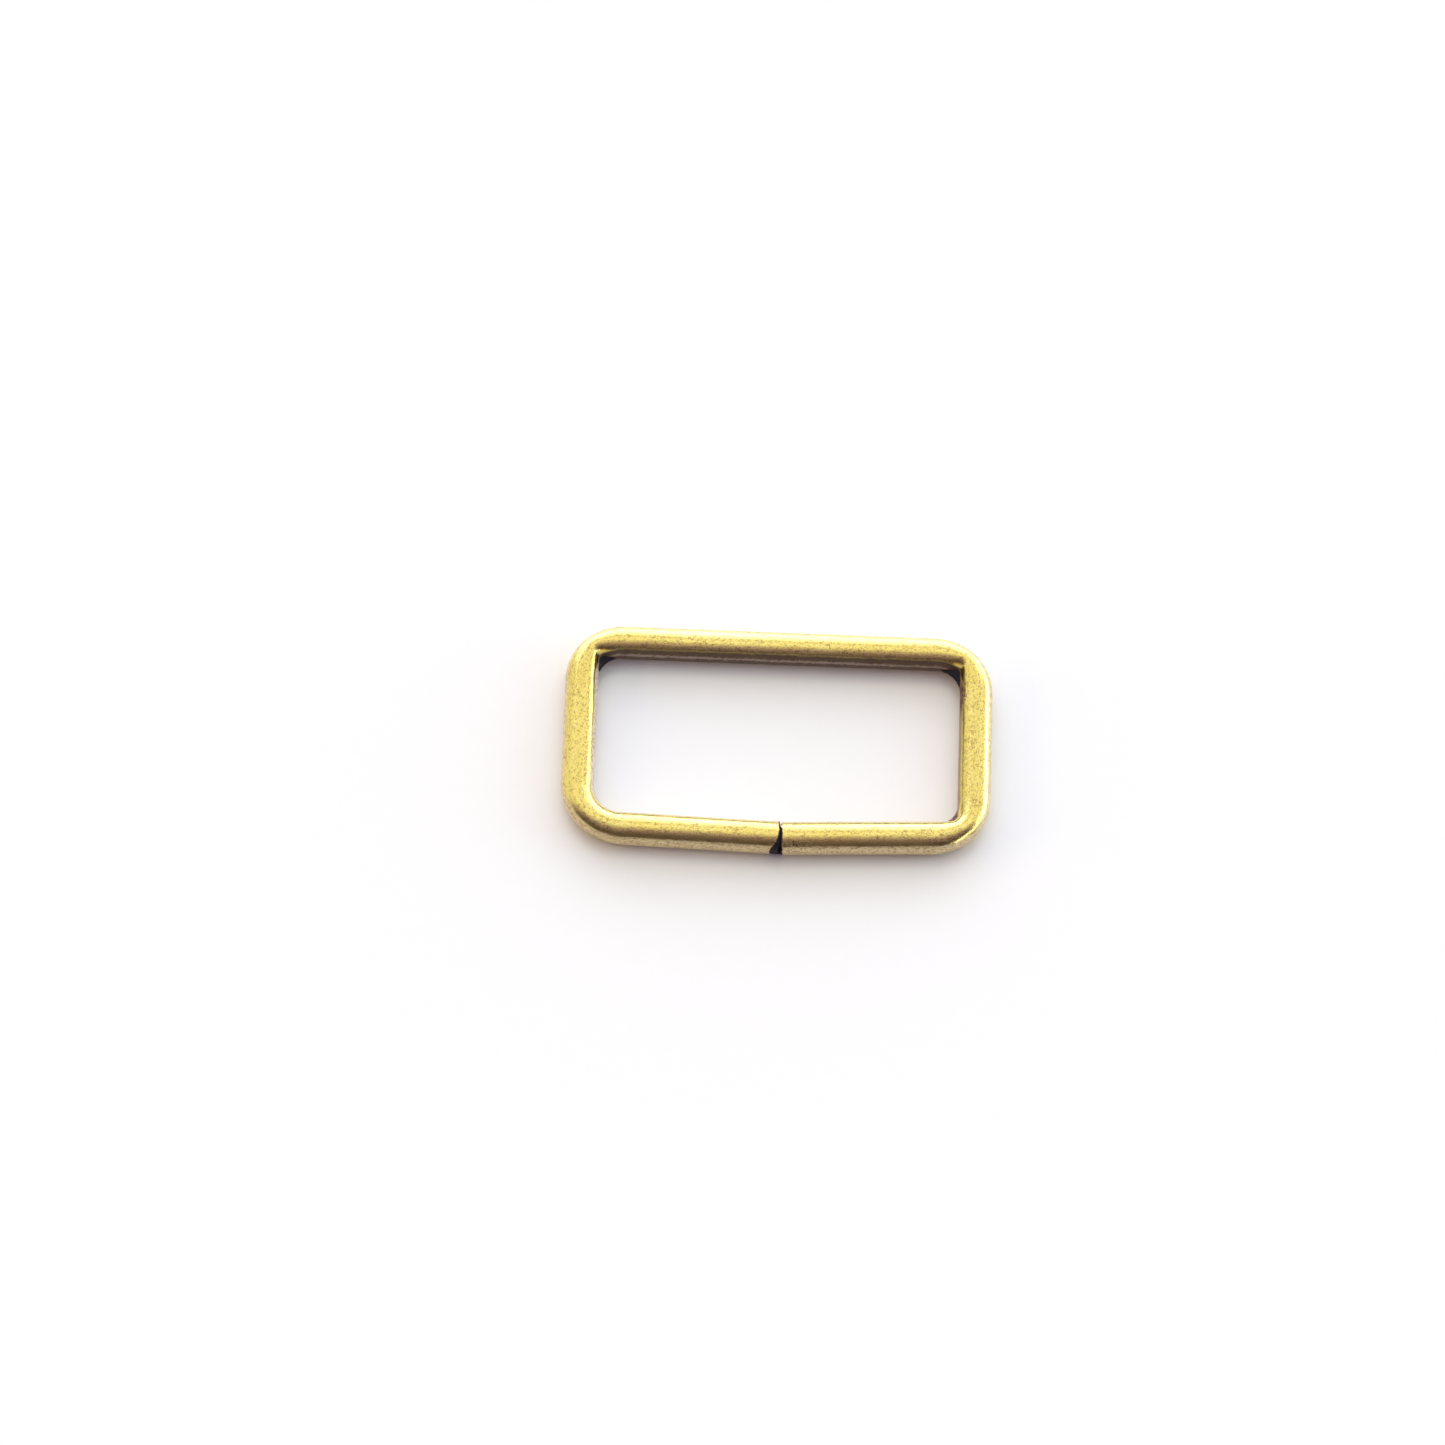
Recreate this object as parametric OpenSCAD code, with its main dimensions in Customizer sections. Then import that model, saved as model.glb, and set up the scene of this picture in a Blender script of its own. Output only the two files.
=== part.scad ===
// Rectangular strap keeper loop, bent from one length of round wire.
// The loop lies flat on Z = 0, centred on the origin, with its opening along Z.
// The closed long bar is at the back (+Y). The front bar (-Y) is two arms of the same
// wire, whose cut ends face each other near the middle and aren't joined.

/* [Opening] */
// Clear width between the two end bars
opening_w = 25.4; // [12:0.1:60]
// Clear height between the two long bars, beside the left end bar
opening_h = 12; // [8:0.1:40]
// How much lower the opening is beside the right end bar
right_end_drop = 0.2; // [0:0.05:0.5]

/* [Wire] */
// Diameter of the round wire
wire_d = 2.3; // [1.6:0.1:3.2]

/* [Bends] */
// Inside radius of the two bends at the ends of the back bar
back_bend_r = 1.85; // [1:0.05:2.4]
// Inside radius of the bend at the left end of the front bar
front_left_bend_r = 2.3; // [1:0.05:2.4]
// Inside radius of the bend at the right end of the front bar
front_right_bend_r = 1.85; // [1:0.05:2.4]
// How much thinner the wire's section is through a bend than on a straight stretch
bend_thinning = 0.004; // [0.004:0.002:0.1]
// Angle in degrees by which the front bar's left arm opens outwards
left_arm_splay = 1.4; // [0:0.1:3]
// Angle in degrees by which the front bar's right arm opens outwards
right_arm_splay = 2.6; // [0:0.1:3]

/* [Cut ends] */
// Distance from the loop's middle to the cut, to the right
cut_offset = 0.36; // [-2:0.02:2]
// Clearance between the two cut ends on the opening's side, before their bevels
cut_gap = 0.06; // [0.02:0.01:0.5]
// Length along the wire of the sheared bevel on the left end's outer side
left_bevel_len = 0.45; // [0.1:0.05:0.8]
// Depth across the wire of that bevel
left_bevel_depth = 0.28; // [0.1:0.02:0.6]
// Length along the wire of the sheared bevel on the right end's inner side
right_bevel_len = 0.22; // [0.1:0.02:0.8]
// Depth across the wire of that bevel
right_bevel_depth = 0.5; // [0.1:0.05:0.6]

/* [Hidden] */
$fn = 64;

wire_r = wire_d / 2;
bend_wire_r = (wire_d - bend_thinning) / 2;
// Angle in degrees that a bend runs on inside the straight stretch at each of its ends
bend_overlap = 0.5;
// From the loop's middle to the centreline of an end bar
half_w = opening_w / 2 + wire_r;
right_opening_h = opening_h - right_end_drop;

// Each bend's radius at the wire's centreline
back_r = back_bend_r + wire_r;
front_left_r = front_left_bend_r + wire_r;
front_right_r = front_right_bend_r + wire_r;

// An end bar's length between the centrelines' corner points, for the clear height beside it
function end_length(clear_h, splay) =
    clear_h + wire_r + wire_r / cos(splay) - wire_r * tan(splay);

// How far a cut end's centre is from its own end bar's centreline, along X. The clearance is
// set at the ends' inner edges, because a splayed arm's square cut leans.
function cut_reach(cut_x, splay) = half_w + cut_x - cut_gap / 2 - wire_r * sin(splay);

// How far an arm's outer edge reaches in front of the back bar's centreline, up to where a
// bevel on the outer side starts
function front_reach(clear_h, splay, cut_x, outer_bevel_len) =
    end_length(clear_h, splay) + cut_reach(cut_x, splay) * tan(splay) + wire_r * cos(splay)
        - outer_bevel_len * sin(splay);

left_reach = front_reach(opening_h, left_arm_splay, cut_offset, left_bevel_len);
right_reach = front_reach(right_opening_h, right_arm_splay, -cut_offset, 0);
outside_depth = max(left_reach, right_reach) + wire_r;
// The back bar's centreline, which puts the loop's box on the origin
back_y = outside_depth / 2 - wire_r;

// A straight stretch of wire along +X, with its children at its far end
module straight(length) {
    rotate([90, 0, 90]) cylinder(h = length, r = wire_r);
    translate([length, 0, 0]) children();
}

// A bend that turns a wire on +X to the left, with its children at its far end
module bend(angle, radius) {
    translate([0, radius, 0]) {
        rotate([0, 0, -90 - bend_overlap])
            rotate_extrude(angle = angle + 2 * bend_overlap)
                translate([radius, 0]) circle(r = bend_wire_r);
        rotate([0, 0, angle]) translate([0, -radius, 0]) children();
    }
}

// A block that bevels the end of a wire on +X at the origin: side is -1 for the loop's outer
// side and 1 for its inner side
module bevel_cutter(length, depth, side) {
    mirror([0, side > 0 ? 1 : 0, 0])
        translate([-length, -wire_r, 0])
            rotate([0, 0, atan2(depth, length)])
                translate([-wire_d, -wire_d, -wire_d])
                    cube([wire_d * 3, wire_d, wire_d * 2]);
}

// The wire from the left end of the back bar, round the left end bar, to its cut end
module half_loop(clear_h, splay, front_r, cut_x, bevel_len, bevel_depth, bevel_side) {
    turn = 90 - splay;
    setback = front_r * tan(turn / 2);
    end_run = end_length(clear_h, splay) - back_r - setback;
    arm_run = cut_reach(cut_x, splay) / cos(splay) - setback;
    translate([back_r - half_w, back_y, wire_r])
        rotate([0, 0, 180])
            bend(90, back_r)
                straight(end_run)
                    bend(turn, front_r)
                        difference() {
                            straight(arm_run);
                            translate([arm_run, 0, 0]) bevel_cutter(bevel_len, bevel_depth, bevel_side);
                        }
}

module wire_loop() {
    color("darkgoldenrod") union() {
        translate([back_r - half_w, back_y, wire_r]) straight(2 * (half_w - back_r));
        half_loop(opening_h, left_arm_splay, front_left_r, cut_offset,
            left_bevel_len, left_bevel_depth, -1);
        mirror([1, 0, 0])
            half_loop(right_opening_h, right_arm_splay, front_right_r, -cut_offset,
                right_bevel_len, right_bevel_depth, 1);
    }
}

wire_loop();
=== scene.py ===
"""A rectangular keeper loop of antique brass wire, lying on a pale table under soft window light."""

import math
import random

import bmesh
import bpy
from mathutils import Matrix, Vector, noise


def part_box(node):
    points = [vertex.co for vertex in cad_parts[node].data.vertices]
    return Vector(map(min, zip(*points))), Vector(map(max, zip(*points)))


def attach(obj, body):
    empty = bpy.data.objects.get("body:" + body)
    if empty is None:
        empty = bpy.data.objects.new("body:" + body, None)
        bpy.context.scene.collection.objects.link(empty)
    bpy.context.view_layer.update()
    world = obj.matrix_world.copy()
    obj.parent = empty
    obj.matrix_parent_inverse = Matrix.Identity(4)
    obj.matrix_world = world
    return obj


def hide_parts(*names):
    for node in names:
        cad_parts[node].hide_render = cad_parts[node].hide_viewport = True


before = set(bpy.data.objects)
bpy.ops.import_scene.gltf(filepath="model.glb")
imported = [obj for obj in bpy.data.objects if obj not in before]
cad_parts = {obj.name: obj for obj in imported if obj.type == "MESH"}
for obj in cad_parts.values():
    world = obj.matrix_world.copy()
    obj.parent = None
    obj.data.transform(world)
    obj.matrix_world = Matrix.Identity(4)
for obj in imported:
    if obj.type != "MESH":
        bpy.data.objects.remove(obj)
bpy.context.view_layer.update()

MM = 0.001
UP = Vector((0, 0, 1))

# Lengths are in millimetres. The wire and the loop's outer size come from the CAD solid, and the
# bends and cut ends repeat its driving sizes.
NODE = "wire_loop"
LOW, HIGH = (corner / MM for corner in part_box(NODE))
WIRE_R = (HIGH.z - LOW.z) / 2
HALF_W = (HIGH.x - LOW.x) / 2 - WIRE_R
BACK_Y = HIGH.y - WIRE_R
CUT_OFFSET = 0.36
CUT_GAP = 0.06
OUTER, INNER = -1, 1


class Bend:
    """A bend of the wire. The inside of a tight bend is pinched: its upper and lower faces are
    pressed back to a crease of radius crease_r, which leaves a thin web out to radius web_r. The
    stain says how dark the crease is, up to 1."""

    def __init__(self, inside_r, web_r, crease_r, stain):
        self.radius = inside_r + WIRE_R
        self.inside_r = inside_r
        self.web_r = web_r
        self.crease_r = crease_r
        self.stain = stain

    def inside_edge(self, turn, off_middle, corner_r):
        """How far the inside edge is from the wire's centreline, at an angle off the bend's
        middle, when the straight inside faces meet at a corner rounded to corner_r."""
        half = turn / 2
        centre = (self.inside_r - corner_r) / math.cos(half)
        side_reach = (self.inside_r - corner_r) * math.tan(half)
        if self.inside_r * math.tan(half - abs(off_middle)) < side_reach:
            reach = self.inside_r / math.cos(half - abs(off_middle))
        else:
            across = centre * math.sin(off_middle)
            reach = centre * math.cos(off_middle) + math.sqrt(max(0, corner_r**2 - across**2))
        return self.radius - reach


class Side:
    """One half of the wire, from the middle of the back bar to a cut end."""

    def __init__(self, sign, clear_h, splay, back_bend, front_bend, bevel_side, bevel_len, bevel_depth):
        self.sign = sign
        self.clear_h = clear_h
        self.splay = math.radians(splay)
        self.back_bend = back_bend
        self.front_bend = front_bend
        self.bevel_side = bevel_side
        self.bevel_len = bevel_len
        self.bevel_depth = bevel_depth

    def route(self):
        """The runs of wire from the back bar's middle to the cut end, as (length, turn, bend)."""
        turn = math.pi / 2 - self.splay
        back_r = self.back_bend.radius
        front_r = self.front_bend.radius
        setback = front_r * math.tan(turn / 2)
        lean = math.tan(self.splay)
        end_bar = self.clear_h + WIRE_R + WIRE_R / math.cos(self.splay) - WIRE_R * lean
        reach = HALF_W - self.sign * CUT_OFFSET - CUT_GAP / 2 - WIRE_R * math.sin(self.splay)
        return [
            (HALF_W - back_r, 0, None),
            (back_r * math.pi / 2, math.pi / 2, self.back_bend),
            (end_bar - back_r - setback, 0, None),
            (front_r * turn, turn, self.front_bend),
            (reach / math.cos(self.splay) - setback, 0, None),
        ]


LEFT = Side(-1, 12.0, 1.4, Bend(1.85, 1.7, 0.35, 0.9), Bend(2.3, 2.1, 1.9, 0.6), OUTER, 0.45, 0.28)
RIGHT = Side(1, 11.8, 2.6, Bend(1.85, 1.8, 0.35, 1.0), Bend(1.85, 1.35, 0.6, 0.6), INNER, 0.22, 0.5)


# ---------------------------------------------------------------- the wire's centreline

SPACING = 0.1
END_STEP = 0.015


class Station:
    """A place on the wire's centreline. Distance counts from the middle of the back bar, and is
    negative on the left half. The crease and web say how far inwards those edges are. Bend rises
    from 0 at a bend's ends to 1 at its middle, and stain is how dark that bend's crease is."""

    def __init__(self, side, place, inward, distance, crease, web, bend, stain):
        self.side = side
        self.place = place
        self.inward = inward
        self.distance = distance
        self.crease = crease
        self.web = web
        self.bend = bend
        self.stain = stain


def half_stations(side):
    """One side's stations, from the back bar's middle to the cut end. The wire sets out along the
    bar and turns towards the opening, so x and y count outwards and to the front."""
    x = y = heading = travelled = 0.0
    stations = []

    def add(px, py, angle, distance, crease=WIRE_R, web=WIRE_R, bend=0.0, stain=0.0):
        place = Vector((side.sign * px, BACK_Y - py, WIRE_R))
        inward = Vector((-side.sign * math.sin(angle), -math.cos(angle), 0))
        stations.append(Station(side, place, inward, side.sign * distance, crease, web, bend, stain))

    for length, turn, bend in side.route():
        steps = max(2, round(length / SPACING))
        for i in range(steps):
            share = i / steps
            if bend:
                angle = heading + turn * share
                px = x + bend.radius * (math.sin(angle) - math.sin(heading))
                py = y - bend.radius * (math.cos(angle) - math.cos(heading))
                off_middle = turn * (share - 0.5)
                crease = bend.inside_edge(turn, off_middle, bend.crease_r)
                web = bend.inside_edge(turn, off_middle, bend.web_r)
                add(px, py, angle, travelled + length * share, crease, web,
                    math.sin(math.pi * share), bend.stain)
            else:
                px = x + length * share * math.cos(heading)
                py = y + length * share * math.sin(heading)
                add(px, py, heading, travelled + length * share)
        if bend:
            x += bend.radius * (math.sin(heading + turn) - math.sin(heading))
            y -= bend.radius * (math.cos(heading + turn) - math.cos(heading))
            heading += turn
        else:
            x += length * math.cos(heading)
            y += length * math.sin(heading)
        travelled += length
    # Two stations close together keep the shading's turn on to the cut face at its very edge.
    add(x - END_STEP * math.cos(heading), y - END_STEP * math.sin(heading), heading, travelled - END_STEP)
    add(x, y, heading, travelled)
    return stations


# ---------------------------------------------------------------- the wire's section

AROUND = 96
OUTLINE_STEPS = 240
WEB_ABOVE, WEB_BELOW = 0.08, 0.42
WEB_RIM = 0.22
WEB_TAPER = 0.25


def half_section(crease, web, thickness):
    """The upper or lower half of a section as (inwards, height) points, evenly spaced from its
    innermost point to its outermost. The web stands a thickness off the wire's mid plane."""
    middle = (crease - WIRE_R) / 2
    half = (crease + WIRE_R) / 2
    inmost = max(crease, web)
    outline = []
    for i in range(OUTLINE_STEPS + 1):
        share = (1 - math.cos(math.pi * i / OUTLINE_STEPS)) / 2
        across = inmost + (-WIRE_R - inmost) * share
        body = WIRE_R * math.sqrt(max(0.0, 1 - ((across - middle) / half) ** 2))
        into_rim = (across - (web - WEB_RIM)) / WEB_RIM
        if into_rim > 0:
            fin = thickness * math.sqrt(max(0.0, 1 - min(1.0, into_rim) ** 2))
        else:
            fin = thickness - WEB_TAPER * WEB_RIM * into_rim
        height = max(body, fin) if across > middle else body
        outline.append((across, height))
    lengths = [0.0]
    for a, b in zip(outline, outline[1:]):
        lengths.append(lengths[-1] + math.dist(a, b))
    points = []
    at = 0
    for k in range(AROUND // 2 + 1):
        goal = lengths[-1] * k / (AROUND // 2)
        while at < len(lengths) - 2 and lengths[at + 1] < goal:
            at += 1
        share = (goal - lengths[at]) / (lengths[at + 1] - lengths[at])
        a, b = outline[at], outline[at + 1]
        points.append((a[0] + (b[0] - a[0]) * share, a[1] + (b[1] - a[1]) * share))
    return points


def section(crease, web):
    """The wire's section as AROUND points (inwards, up), starting at its innermost point. It is
    an ellipse from the outer side to the crease, with the web standing out of its inner side."""
    upper = half_section(crease, web, WEB_ABOVE)
    lower = half_section(crease, web, WEB_BELOW)
    return upper + [(across, -height) for across, height in lower[-2:0:-1]]


PLAIN_SECTION = section(WIRE_R, WIRE_R)


# ---------------------------------------------------------------- the wire's surface

random.seed(23)
DENT_COUNT = 260
DENT_RADII = (0.12, 0.42)
DENT_DEPTHS = (0.003, 0.011)
# Waves left by drawing the wire, as (scale along it, scale across it, noise offset, height). The
# surface is sunk a little so that they stay inside the CAD solid's box.
WAVES = ((0.45, 0.8, (5, 0, 0), 0.008), (1.6, 2.6, (0, 9, 0), 0.0042), (4, 7, (0, 0, 3), 0.0016))
SINK = 0.004


def dents(length):
    """Small tumbling dents as (place in the straightened wire, radius, depth), by whole
    millimetre along the wire."""
    found = {}
    for _ in range(DENT_COUNT):
        along = random.uniform(-length / 2, length / 2)
        angle = random.uniform(0, 2 * math.pi)
        place = Vector((along, WIRE_R * math.cos(angle), WIRE_R * math.sin(angle)))
        dent = (place, random.uniform(*DENT_RADII), random.uniform(*DENT_DEPTHS))
        for cell in range(math.floor(along - 1), math.ceil(along + 1) + 1):
            found.setdefault(cell, []).append(dent)
    return found


def relief(straight, dent_map):
    """How far the surface stands from a true cylinder at a place in the straightened wire."""
    height = -SINK
    for along, across, (x, y, z), tall in WAVES:
        at = Vector((straight.x * along + x, straight.y * across + y, straight.z * across + z))
        height += tall * noise.noise(at)
    for place, radius, depth in dent_map.get(round(straight.x), ()):
        near = (straight - place).length / radius
        if near < 1:
            height -= depth * (1 - near * near) ** 2
    return height


def ease(value, low, high):
    """A smooth step from 0 at low to 1 at high, where low may be the larger."""
    share = min(1.0, max(0.0, (value - low) / (high - low)))
    return share * share * (3 - 2 * share)


def cut_limit(side, across):
    """How far short of its full length the wire ends at a distance inwards, for the bevel."""
    past = (across * side.bevel_side - (WIRE_R - side.bevel_depth)) / side.bevel_depth
    return max(0.0, past) * side.bevel_len


LEAN_SHARE = 0.95


def cut_lean(side, across):
    """How much longer the left arm's outer side is. Its sheared face leans over to the right
    arm's square one, which is turned away by the splay of both arms, but not all the way."""
    if side is RIGHT:
        return 0.0
    return (WIRE_R - across) * math.tan(LEFT.splay + RIGHT.splay) * LEAN_SHARE


# ---------------------------------------------------------------- where the patina is dark

# Patina at the cuts and in a ragged band along the front arms, and painted shade past the back
# right bend. Each darkness is up to 1, and angles count outwards from the wire's top.
CUT_EDGE = 0.07
CUT_DARK = 0.9
INNER_CUT_DARK, INNER_CUT_ACROSS = 0.58, 0.3
WEDGE_LENGTH = 0.36
WEDGE_FULL, WEDGE_LAST = math.radians(75), math.radians(150)
BAND_MIDDLE, BAND_HALF = math.radians(43), math.radians(21)
BAND_REACH, BAND_FADE = 12.5, 3
BAND_DARK = 0.40
PATCH_START, PATCH_END = 0.2, 2.1
PATCH_DARK = 0.24
# Painted shade on the right end bar's inner side, past the back right bend.
SHADE_START, SHADE_FULL, SHADE_END = 12.6, 15.3, 20.5
SHADE_DARK = 0.66
BEND_DARK = 0.6
WEB_FULL = 0.12


def cut_patina(side, left_over, across, height):
    """How dark the wire is towards its cut end. The cut's edge is dark all round. The left arm
    has a wedge that widens down its outer side. Both arms have a faint band along their outer
    side, which is darker in a patch on the right arm."""
    outward = math.atan2(-across, height)
    edge = CUT_EDGE
    if side is LEFT and abs(outward) < WEDGE_LAST:
        edge += WEDGE_LENGTH * ease(outward, 0, WEDGE_FULL)
    darkest = INNER_CUT_DARK if side is RIGHT and across > INNER_CUT_ACROSS else CUT_DARK
    dark = darkest * ease(left_over, edge + 0.1, edge - 0.02)
    on_band = ease(abs(outward - BAND_MIDDLE) / BAND_HALF, 1.4, 0.2)
    band = BAND_DARK * on_band * ease(left_over, BAND_REACH, BAND_REACH - BAND_FADE)
    if side is RIGHT:
        middle = (PATCH_START + PATCH_END) / 2
        off_middle = abs(left_over - middle) / (PATCH_END - middle)
        band += PATCH_DARK * on_band * ease(off_middle, 1.3, 0.5)
    return max(dark, band)


def right_bar_painted_shade(station, across):
    """Painted shade on the right end bar's inner side, which fades away from its back bend."""
    rise = ease(station.distance, SHADE_START, SHADE_FULL)
    fall = ease(station.distance, SHADE_END, SHADE_FULL)
    return SHADE_DARK * rise * fall * ease(across, 0.45, 0.95)


def bend_patina(station, across):
    """How dark the wire is inside a bend: on its web, once that stands clear of the crease, and
    less on the rest of its inner side."""
    pinched = ease(station.web - station.crease, 0.0, WEB_FULL)
    on_web = ease(across, station.crease - 0.08, station.crease + 0.06)
    return max(pinched * on_web * station.stain, BEND_DARK * station.bend * ease(across, 0.75, 1.1))


# ---------------------------------------------------------------- the swept wire


class WireMesh:
    """The swept wire. Each point keeps its place in the straightened wire, how dark it is with
    patina inside a bend or with painted shade on the right end bar, and how dark towards a cut."""

    def __init__(self):
        self.mesh = bmesh.new()
        self.straight = self.mesh.verts.layers.float_vector.new("straight")
        self.bend_patina_and_shade = self.mesh.verts.layers.float.new("bend_patina_and_shade")
        self.cut = self.mesh.verts.layers.float.new("cut")

    def add(self, station, along, across, height, straight, bend_patina_and_shade, cut):
        """A point given along the wire towards its right cut end, inwards and up."""
        tangent = UP.cross(station.inward).normalized()
        place = station.place + station.inward * across + UP * height + tangent * along
        vert = self.mesh.verts.new(place * MM)
        vert[self.straight] = straight
        vert[self.bend_patina_and_shade] = bend_patina_and_shade
        vert[self.cut] = cut
        return vert

    def join(self, a, b):
        """The faces between two rings of points."""
        for k in range(AROUND):
            n = (k + 1) % AROUND
            self.mesh.faces.new((a[k], b[k], b[n], a[n]))

    def finish(self, name):
        bmesh.ops.recalc_face_normals(self.mesh, faces=self.mesh.faces)
        data = bpy.data.meshes.new(name)
        self.mesh.to_mesh(data)
        self.mesh.free()
        data.polygons.foreach_set("use_smooth", [True] * len(data.polygons))
        return data


CUT_REACH = 1.0


def add_ring(wire, station, left_over, dent_map):
    """The ring of points round a station, which is left_over short of its own side's cut end."""
    side = station.side
    outline = section(station.crease, station.web) if station.bend else PLAIN_SECTION
    near = max(0.0, 1 - left_over / CUT_REACH)
    ring = []
    for k in range(AROUND):
        angle = 2 * math.pi * k / AROUND
        across, height = outline[k]
        straight = Vector((station.distance, WIRE_R * math.cos(angle), WIRE_R * math.sin(angle)))
        bump = relief(straight, dent_map)
        # The stations close up towards a cut, to follow its bevel and its lean.
        along = side.sign * near * (cut_lean(side, across) - cut_limit(side, across))
        # The bend patina and the painted shade on the right end bar share one attribute.
        bend_patina_and_shade = max(bend_patina(station, across), right_bar_painted_shade(station, across))
        cut = cut_patina(side, left_over, across, height)
        ring.append(wire.add(station, along, across + bump * math.cos(angle),
                             height + bump * math.sin(angle), straight, bend_patina_and_shade, cut))
    return ring


def build_wire():
    left = half_stations(LEFT)
    right = half_stations(RIGHT)
    ends = {LEFT: -left[-1].distance, RIGHT: right[-1].distance}
    stations = left[::-1] + right[1:]
    dent_map = dents(ends[LEFT] + ends[RIGHT])
    wire = WireMesh()
    rings = []
    for station in stations:
        left_over = ends[station.side] - abs(station.distance)
        rings.append(add_ring(wire, station, left_over, dent_map))
    for a, b in zip(rings, rings[1:]):
        wire.join(a, b)
    close_end(wire, stations[0], rings[0])
    close_end(wire, stations[-1], rings[-1])
    return wire.finish("wire")


CAP_RINGS = (0.992, 0.982, 0.97, 0.95, 0.9, 0.8, 0.66, 0.5, 0.33, 0.16)
EDGE_ROUND = 0.025
CAP_BULGE = 0.02
TEAR_HEIGHT = 0.014
TEAR_SCALE = 3
TEAR_OFFSET = 7


def close_end(wire, station, ring):
    """The sheared face of a cut end: rings that step over a rounded edge and in to the centre."""
    side = station.side

    def face_point(across, height, share):
        over = min(1.0, (1 - share) * WIRE_R / EDGE_ROUND)
        rounding = EDGE_ROUND * (1 - (1 - over) ** 2)
        torn_at = Vector((across * TEAR_SCALE, height * TEAR_SCALE, side.sign * TEAR_OFFSET))
        tear = TEAR_HEIGHT * noise.noise(torn_at)
        bulge = CAP_BULGE * (1 - share * share)
        along = cut_lean(side, across) - cut_limit(side, across) + rounding * 0.5 + bulge + tear * over
        straight = Vector((station.distance, across, height))
        return wire.add(station, side.sign * along, across, height, straight, 0.0, 1.0)

    outer = ring
    for share in CAP_RINGS:
        made = []
        for k in range(AROUND):
            angle = 2 * math.pi * k / AROUND
            radius = WIRE_R * share
            made.append(face_point(radius * math.cos(angle), radius * math.sin(angle), share))
        wire.join(outer, made)
        outer = made
    centre = face_point(0.0, 0.0, 0.0)
    for k in range(AROUND):
        wire.mesh.faces.new((outer[k], centre, outer[(k + 1) % AROUND]))


# ---------------------------------------------------------------- shader helpers


def feed(tree, socket, value):
    """Sets a socket to a number or a tuple, or links it to another node's output."""
    if isinstance(value, (int, float)):
        socket.default_value = value
    elif isinstance(value, tuple):
        socket.default_value = (*value, 1) if socket.type == "RGBA" else value
    else:
        tree.links.new(value, socket)


def noise_of(tree, vector, scale, detail, roughness=0.5):
    made = tree.nodes.new("ShaderNodeTexNoise")
    feed(tree, made.inputs["Scale"], scale)
    feed(tree, made.inputs["Detail"], detail)
    feed(tree, made.inputs["Roughness"], roughness)
    feed(tree, made.inputs["Vector"], vector)
    return made.outputs["Fac"]


def remap(tree, value, low, high, to_low=0.0, to_high=1.0):
    """A smooth step from to_low where the value is low to to_high where it is high."""
    made = tree.nodes.new("ShaderNodeMapRange")
    made.interpolation_type = "SMOOTHSTEP"
    feed(tree, made.inputs["Value"], value)
    for name, number in (("From Min", low), ("From Max", high), ("To Min", to_low), ("To Max", to_high)):
        feed(tree, made.inputs[name], number)
    return made.outputs["Result"]


def remap_linear(tree, value, low, high):
    made = tree.nodes.new("ShaderNodeMapRange")
    feed(tree, made.inputs["Value"], value)
    feed(tree, made.inputs["From Min"], low)
    feed(tree, made.inputs["From Max"], high)
    return made.outputs["Result"]


def mix_value(tree, factor, a, b):
    made = tree.nodes.new("ShaderNodeMix")
    feed(tree, made.inputs["Factor"], factor)
    values = [socket for socket in made.inputs if socket.type == "VALUE" and socket.name in ("A", "B")]
    feed(tree, values[0], a)
    feed(tree, values[1], b)
    return made.outputs["Result"]


def maths(tree, operation, a, b=0.0):
    made = tree.nodes.new("ShaderNodeMath")
    made.operation = operation
    feed(tree, made.inputs[0], a)
    feed(tree, made.inputs[1], b)
    return made.outputs[0]


def scaled(tree, value, factor):
    return maths(tree, "MULTIPLY", value, factor)


def difference(tree, a, b):
    return maths(tree, "SUBTRACT", a, b)


def mix(tree, factor, a, b):
    made = tree.nodes.new("ShaderNodeMix")
    made.data_type = "RGBA"
    colours = [socket for socket in made.inputs if socket.type == "RGBA"]
    feed(tree, made.inputs["Factor"], factor)
    feed(tree, colours[0], a)
    feed(tree, colours[1], b)
    return next(socket for socket in made.outputs if socket.type == "RGBA")


def stretched(tree, vector, scale):
    made = tree.nodes.new("ShaderNodeMapping")
    feed(tree, made.inputs["Scale"], scale)
    feed(tree, made.inputs["Vector"], vector)
    return made.outputs["Vector"]


def attribute(tree, name, output="Fac"):
    made = tree.nodes.new("ShaderNodeAttribute")
    made.attribute_name = name
    return made.outputs[output]


def split(tree, vector):
    made = tree.nodes.new("ShaderNodeSeparateXYZ")
    feed(tree, made.inputs[0], vector)
    return made.outputs


def new_material(name):
    material = bpy.data.materials.new(name)
    material.use_nodes = True
    return material, material.node_tree, material.node_tree.nodes["Principled BSDF"]


# ---------------------------------------------------------------- materials

BRASS = (0.845, 0.705, 0.205)
BRASS_WARM = (0.83, 0.665, 0.175)
BRASS_DULL = (0.62, 0.46, 0.135)
SPECK = (0.40, 0.265, 0.085)
PATINA_THIN = (0.33, 0.225, 0.16)
# A painted pale reflection of the bright table and window, on the outer sides and past the back left bend.
PAINTED_PALE_REFLECTION = (0.85, 0.69, 0.49)
# Painted shade for the back bar's inner side.
PAINTED_SHADE = (0.10, 0.063, 0.047)
# A painted reflection of the lit table, as a pale line within the painted shade.
PAINTED_REFLECTION_LINE = (0.34, 0.26, 0.21)
PATINA_BROWN = (0.12, 0.055, 0.032)
PATINA = (0.012, 0.009, 0.012)
PAPER, PAPER_FIBRE = (0.885, 0.865, 0.755), (0.905, 0.885, 0.785)
# How far the back bar counts from its middle, which is half way round its bends. A painted pale
# reflection line runs along its inner side, at a height above the wire's mid plane given in wire radii.
BACK_BAR_HALF = 13.0
REFLECTION_LINE_HEIGHT = 0.26


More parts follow.
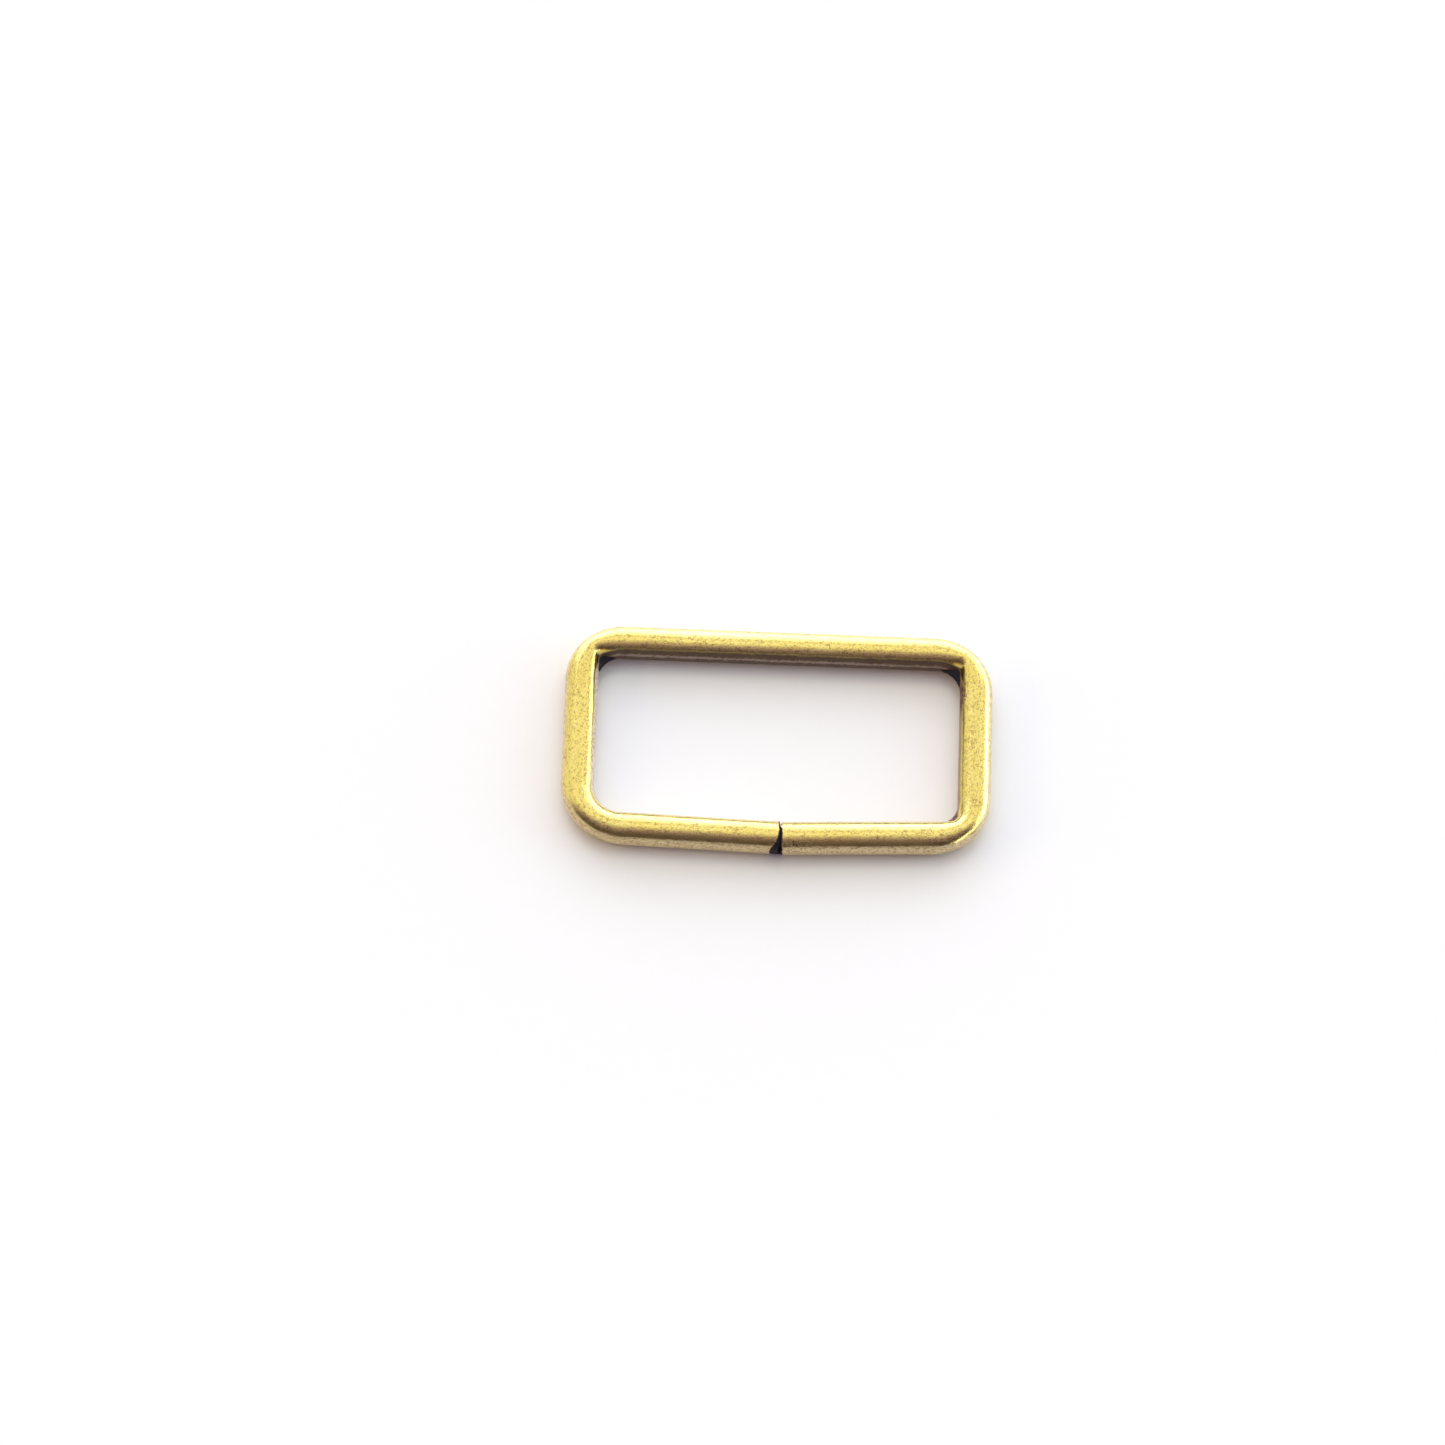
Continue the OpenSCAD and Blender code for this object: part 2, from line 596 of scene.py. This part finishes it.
def bare_brass(tree, drawn, grain, mottle):
    """Rubbed brass, cloudy and with a dull grain. The patina stays in its pores."""
    cloud = noise_of(tree, drawn, 0.4, 2)
    brass = mix(tree, remap(tree, cloud, 0.35, 0.65), BRASS, BRASS_WARM)
    rubbed = mix(tree, remap(tree, grain, 0.47, 0.6), brass, BRASS_DULL)
    pores = remap(tree, maths(tree, "ADD", grain, scaled(tree, mottle, 0.3)), 0.665, 0.8)
    return mix(tree, pores, rubbed, SPECK)


def back_bar_painted_shade(tree, place):
    """Where shade is painted on the back bar's inner side, which faces away from the light. The mask also
    raises the thin patina's cover.
    """
    on_back_bar = remap(tree, maths(tree, "ABSOLUTE", place["X"]), BACK_BAR_HALF + 1, BACK_BAR_HALF)
    return scaled(tree, on_back_bar, remap(tree, place["Y"], 0.1 * WIRE_R, 0.4 * WIRE_R))


def pale_reflection_sides(tree, place):
    """The outer side, and all of the wire past the back left bend, where the thin patina is
    painted pale as a painted reflection of the bright table and window."""
    outer_side = remap(tree, place["Y"], 0.0, -0.5 * WIRE_R)
    past_left_bend = remap(tree, place["X"], -BACK_BAR_HALF, -BACK_BAR_HALF - 2)
    return maths(tree, "MAXIMUM", outer_side, past_left_bend)


def side_cover(tree, place, ragged, pale, painted_shade_mask):
    """How much thin patina is left: more on the wire's sides than on its upper and lower faces,
    most on the inside, and more still where shade or a pale reflection is painted."""
    face = maths(tree, "ABSOLUTE", maths(tree, "DIVIDE", place["Z"], WIRE_R))
    # Painted shade and the painted pale reflection both raise the cover.
    face = difference(tree, face, scaled(tree, painted_shade_mask, 0.2))
    face = difference(tree, face, scaled(tree, pale, 0.08))
    sides = remap(tree, maths(tree, "ADD", remap(tree, face, 0.66, 0.36), ragged), 0.25, 0.9)
    inside = remap(tree, maths(tree, "DIVIDE", place["Y"], WIRE_R), 0.3, 0.8, 0.6, 0.95)
    return scaled(tree, sides, inside)


def patina_and_painted_light(tree, place, grain, torn, pale, painted_shade_mask):
    """The thin patina's colour, with painted light in it: painted shade on the back bar's inner
    side with a painted pale reflection line just above its middle, and a painted pale reflection
    on the outer sides and past the back left bend."""
    height = maths(tree, "DIVIDE", place["Z"], WIRE_R)
    off_reflection_line = maths(tree, "ABSOLUTE", difference(tree, height, REFLECTION_LINE_HEIGHT))
    on_reflection_line = remap(tree, maths(tree, "ADD", off_reflection_line, scaled(tree, torn, 0.4)), 0.14, 0.03)
    pale_reflection_mottled = mix(tree, remap(tree, grain, 0.46, 0.6), PAINTED_PALE_REFLECTION, PATINA_THIN)
    shade_and_reflection_line = mix(tree, on_reflection_line, PAINTED_SHADE, PAINTED_REFLECTION_LINE)
    return mix(tree, painted_shade_mask, mix(tree, pale, PATINA_THIN, pale_reflection_mottled), shade_and_reflection_line)


def fine_bumps(tree, straight, grain):
    drawing = noise_of(tree, stretched(tree, straight, (0.15, 1, 1)), 12, 2)
    bump = tree.nodes.new("ShaderNodeBump")
    feed(tree, bump.inputs["Strength"], 0.4)
    feed(tree, bump.inputs["Distance"], 0.03 * MM)
    feed(tree, bump.inputs["Height"], difference(tree, scaled(tree, drawing, 0.15), grain))
    return bump.outputs["Normal"]


def antique_brass():
    """Brass rubbed bright over a dark patina. It is thin on the wire's sides, and thick inside the
    bends and at the cuts. Shade is painted on the inner sides of the back bar and right end bar,
    and pale reflections are painted on the outer sides."""
    material, tree, shader = new_material("antique_brass")
    straight = attribute(tree, "straight", "Vector")
    place = split(tree, straight)
    drawn = stretched(tree, straight, (0.6, 1, 1))
    fine = noise_of(tree, drawn, 14, 3, 0.7)
    speckle = noise_of(tree, drawn, 6.5, 3, 0.65)
    mottle = noise_of(tree, drawn, 1.6, 3, 0.6)
    grain = maths(tree, "ADD", scaled(tree, fine, 0.55), scaled(tree, speckle, 0.45))
    ragged = scaled(tree, difference(tree, mottle, 0.5), 0.7)
    torn = maths(tree, "ADD", scaled(tree, ragged, 0.6), scaled(tree, difference(tree, grain, 0.5), 1.5))

    # Painted shade on the back bar's inner side, and a painted pale reflection on the outer sides.
    painted_shade_mask = back_bar_painted_shade(tree, place)
    pale = pale_reflection_sides(tree, place)
    sides = side_cover(tree, place, ragged, pale, painted_shade_mask)
    deepest = maths(tree, "MAXIMUM", attribute(tree, "bend_patina_and_shade"), attribute(tree, "cut"))
    depth = maths(tree, "ADD", deepest, torn)
    kept = remap(tree, depth, 0.42, 0.66)

    thin = patina_and_painted_light(tree, place, grain, torn, pale, painted_shade_mask)
    thick = mix(tree, remap(tree, depth, 0.62, 0.82), PATINA_BROWN, PATINA)
    brass_patina_and_painted_light = mix(tree, sides, bare_brass(tree, drawn, grain, mottle), thin)
    feed(tree, shader.inputs["Base Color"], mix(tree, kept, brass_patina_and_painted_light, thick))

    # Painted shade also keeps more of the thin patina's matt cover.
    thin_cover = scaled(tree, sides, remap(tree, painted_shade_mask, 0.0, 1.0, 0.62, 0.85))
    covered = maths(tree, "MAXIMUM", thin_cover, kept)
    rough = remap(tree, mottle, 0.3, 0.7, 0.15, 0.21)
    feed(tree, shader.inputs["Metallic"], difference(tree, 1.0, covered))
    feed(tree, shader.inputs["IOR"], 1.3)
    feed(tree, shader.inputs["Roughness"], maths(tree, "ADD", rough, scaled(tree, covered, 0.4)))
    feed(tree, shader.inputs["Normal"], fine_bumps(tree, straight, grain))
    return material


def smooth_paper():
    material, tree, shader = new_material("smooth_paper")
    place = tree.nodes.new("ShaderNodeTexCoord").outputs["Object"]
    fibre = noise_of(tree, place, 900, 4)
    feed(tree, shader.inputs["Base Color"], mix(tree, fibre, PAPER, PAPER_FIBRE))
    feed(tree, shader.inputs["Roughness"], 0.18)
    feed(tree, shader.inputs["IOR"], 1.7)
    return material


# ---------------------------------------------------------------- scene


def add_object(name, data, material=None):
    made = bpy.data.objects.new(name, data)
    bpy.context.scene.collection.objects.link(made)
    if material:
        data.materials.append(material)
    return made


TABLE_HALF = 3.0


def add_table():
    mesh = bmesh.new()
    bmesh.ops.create_grid(mesh, x_segments=1, y_segments=1, size=TABLE_HALF)
    data = bpy.data.meshes.new("table")
    mesh.to_mesh(data)
    mesh.free()
    add_object("table", data, smooth_paper())


# The camera is set by its tilt from straight down towards the front, its tilt to the right, its
# roll, and the point on the wire's mid plane that it looks at.
CAMERA_DISTANCE = 0.6
TILT_FRONT = 25.4
TILT_RIGHT = -0.5
ROLL = 2.0
LOOK_AT = Vector((-3.878, 1.429, WIRE_R)) * MM
LENS = 213.5


def add_camera():
    front, right, roll = (math.radians(angle) for angle in (TILT_FRONT, TILT_RIGHT, ROLL))
    back = Vector((math.sin(right) * math.cos(front), -math.sin(front), math.cos(right) * math.cos(front)))
    across = (-back).cross(Vector((0, 1, 0))).normalized()
    above = across.cross(-back)
    x_axis = across * math.cos(roll) + above * math.sin(roll)
    y_axis = above * math.cos(roll) - across * math.sin(roll)
    data = bpy.data.cameras.new("camera")
    data.lens = LENS
    data.clip_start = 0.01
    camera = add_object("camera", data)
    turn = Matrix((x_axis, y_axis, back)).transposed().to_4x4()
    camera.matrix_world = Matrix.Translation(LOOK_AT + back * CAMERA_DISTANCE) @ turn
    bpy.context.scene.camera = camera


def heading(azimuth, elevation):
    """A direction given by its angle from +X round to +Y, and its angle above the table."""
    azimuth, elevation = math.radians(azimuth), math.radians(elevation)
    flat = math.cos(elevation)
    return Vector((flat * math.cos(azimuth), flat * math.sin(azimuth), math.sin(elevation)))


def add_window(name, azimuth, elevation, width, height, brightness, colour, mirrored=True):
    """A soft light one metre away that faces the loop, and shows in its reflections if mirrored."""
    data = bpy.data.lights.new(name, "AREA")
    data.shape = "RECTANGLE"
    data.size = width
    data.size_y = height
    data.energy = brightness * math.pi * width * height
    data.color = colour
    light = add_object(name, data)
    direction = heading(azimuth, elevation)
    light.location = direction
    light.rotation_euler = direction.to_track_quat("Z", "Y").to_euler()
    light.visible_camera = False
    light.visible_glossy = mirrored


# The room's brightness by the angle in degrees from overhead, towards the back: dark in front,
# where someone stands, and bright at the back.
ROOM = ((-90, 0.1), (-60, 0.13), (-40, 0.27), (-18, 0.62), (-8, 0.96), (3, 1.24), (14, 1.28),
        (25, 1.03), (40, 1.45), (50, 2.2), (64, 3.2), (90, 3.5))
ROOM_PEAK = 4.0
# Its brightness to the left and right, and the colour that the camera sees behind the table.
SIDE_LEVEL = 1.02
ROOM_SEEN = (0.93, 0.92, 0.90)
# The light's tint where the room is dim, bright and brightest.
DIM, BRIGHT, BRIGHTEST = (1.0, 0.77, 1.35), (1.0, 0.98, 0.95), (0.98, 1.05, 1.35)


def level_overhead(tree, axes):
    """The brightness that the ROOM table gives for a direction."""
    lean = maths(tree, "ARCTAN2", axes["Y"], maths(tree, "MAXIMUM", axes["Z"], 0.001))
    ramp = tree.nodes.new("ShaderNodeValToRGB")
    ramp.color_ramp.interpolation = "EASE"
    feed(tree, ramp.inputs["Fac"], remap_linear(tree, lean, -math.pi / 2, math.pi / 2))
    elements = ramp.color_ramp.elements
    while len(elements) > 1:
        elements.remove(elements[-1])
    for i, (angle, brightness) in enumerate(ROOM):
        element = elements[0] if i == 0 else elements.new((angle + 90) / 180)
        element.position = (angle + 90) / 180
        element.color = (*[brightness / ROOM_PEAK] * 3, 1)
    return scaled(tree, ramp.outputs["Color"], ROOM_PEAK)


def room_level(tree, axes):
    """The room's brightness. To the left and right it is even, with a brighter strip low down on
    the right, apart from where it is dark in front."""
    sideways = remap(tree, maths(tree, "ABSOLUTE", axes["X"]), 0.5, 0.78)
    behind = remap(tree, axes["Y"], -0.55, 0.1)
    low = remap(tree, axes["Z"], 0.42, 0.16)
    strip = scaled(tree, low, remap(tree, axes["X"], -0.6, 0.6, 0.0, 1.5))
    even = scaled(tree, behind, maths(tree, "ADD", strip, SIDE_LEVEL))
    return mix_value(tree, scaled(tree, sideways, behind), level_overhead(tree, axes), even)


def add_room():
    world = bpy.data.worlds.new("room")
    bpy.context.scene.world = world
    world.use_nodes = True
    tree = world.node_tree
    axes = split(tree, tree.nodes.new("ShaderNodeTexCoord").outputs["Generated"])
    level = room_level(tree, axes)
    tint = mix(tree, remap(tree, level, 0.3, 1.0), DIM, BRIGHT)
    tint = mix(tree, remap(tree, level, 1.12, 1.5), tint, BRIGHTEST)
    backdrop = tree.nodes["Background"]
    is_camera = tree.nodes.new("ShaderNodeLightPath").outputs["Is Camera Ray"]
    feed(tree, backdrop.inputs["Color"], mix(tree, is_camera, tint, ROOM_SEEN))
    feed(tree, backdrop.inputs["Strength"], mix_value(tree, is_camera, level, 1.0))


def add_windows():
    """Two low windows on the right, and two fills that only light what is matt."""
    add_window("right_window", 28, 1.5, 0.95, 0.07, 11, (0.92, 0.97, 1.0))
    add_window("front_right_window", -28, 1.5, 0.9, 0.07, 7, (0.94, 0.98, 1.0))
    add_window("left_fill", 180, 20, 0.6, 0.5, 3.0, (1.0, 0.74, 0.3), mirrored=False)
    add_window("right_fill", 0, 20, 0.6, 0.5, 2.8, (0.25, 0.6, 1.0), mirrored=False)


def add_wire():
    wire = add_object("wire", build_wire(), antique_brass())
    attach(wire, "root")
    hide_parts(NODE)


add_camera()
add_table()
add_room()
add_windows()
add_wire()
bpy.context.scene.view_settings.view_transform = "Standard"
